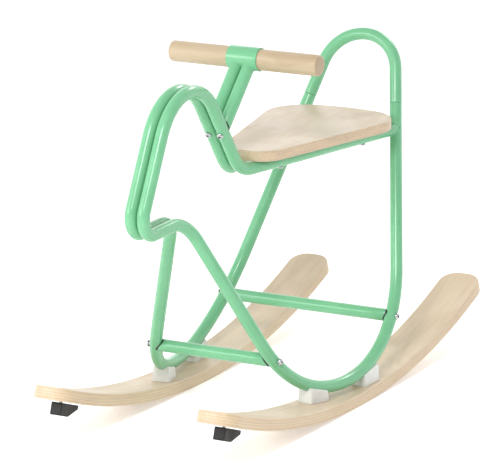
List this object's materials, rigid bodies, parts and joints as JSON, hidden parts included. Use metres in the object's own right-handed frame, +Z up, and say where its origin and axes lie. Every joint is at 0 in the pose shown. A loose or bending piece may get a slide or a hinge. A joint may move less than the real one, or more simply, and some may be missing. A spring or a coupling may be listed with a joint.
{
  "type": "rocking horse",
  "caption": "Child's rocking horse: paired bent steel tube side frames with a round handlebar, flared plywood seat, tube backrest hoop and bent plywood rockers.",
  "frame": {"origin": "on the floor under the middle of the bounding box", "axes": "+X towards the horse's nose, +Y towards its left side, +Z up"},
  "size_m": [0.85, 0.335, 0.541],
  "materials": {
    "green_paint": "gloss powder coat, mint green",
    "seat_ply": "satin lacquered birch plywood, plies visible at the edge",
    "rocker_ply": "satin lacquered bent plywood, plies visible at the edge",
    "dowel_wood": "satin lacquered turned beech",
    "white_plastic": "satin moulded off-white",
    "black_plastic": "satin moulded black",
    "stop_rubber": "moulded black rubber",
    "bolt_steel": "bright steel",
    "zinc_steel": "zinc plated"
  },
  "bodies": {
    "root": {"backrest_hoop": "green_paint", "front_bolt_left": "bolt_steel", "front_bolt_right": "bolt_steel", "front_crossbar": "green_paint", "front_insert_left": "zinc_steel", "front_insert_right": "zinc_steel", "front_spacer_left": "black_plastic", "front_spacer_right": "black_plastic", "handle_bracket": "green_paint", "handle_dowel": "dowel_wood", "neck_bolt_left": "bolt_steel", "neck_bolt_right": "bolt_steel", "rear_bolt_left": "bolt_steel", "rear_bolt_right": "bolt_steel", "rear_crossbar": "green_paint", "rear_insert_left": "zinc_steel", "rear_insert_right": "zinc_steel", "rear_spacer_left": "black_plastic", "rear_spacer_right": "black_plastic", "rivet_nut_front_left": "zinc_steel", "rivet_nut_front_right": "zinc_steel", "rivet_nut_rear_left": "zinc_steel", "rivet_nut_rear_right": "zinc_steel", "rocker_left": "rocker_ply", "rocker_right": "rocker_ply", "saddle_bolt_front_left": "zinc_steel", "saddle_bolt_front_right": "zinc_steel", "saddle_bolt_rear_left": "zinc_steel", "saddle_bolt_rear_right": "zinc_steel", "saddle_front_left": "white_plastic", "saddle_front_right": "white_plastic", "saddle_rear_left": "white_plastic", "saddle_rear_right": "white_plastic", "seat_nut_left_front": "zinc_steel", "seat_nut_left_rear": "zinc_steel", "seat_nut_right_front": "zinc_steel", "seat_nut_right_rear": "zinc_steel", "seat_panel": "seat_ply", "seat_screw_left_front": "bolt_steel", "seat_screw_left_rear": "bolt_steel", "seat_screw_right_front": "bolt_steel", "seat_screw_right_rear": "bolt_steel", "side_frame_left": "green_paint", "side_frame_right": "green_paint", "stem_insert_left": "zinc_steel", "stem_insert_right": "zinc_steel", "stem_spacer_left": "black_plastic", "stem_spacer_right": "black_plastic", "stop_screw_left": "zinc_steel", "stop_screw_right": "zinc_steel", "tip_stop_left": "stop_rubber", "tip_stop_right": "stop_rubber"}
  },
  "joints": []
}
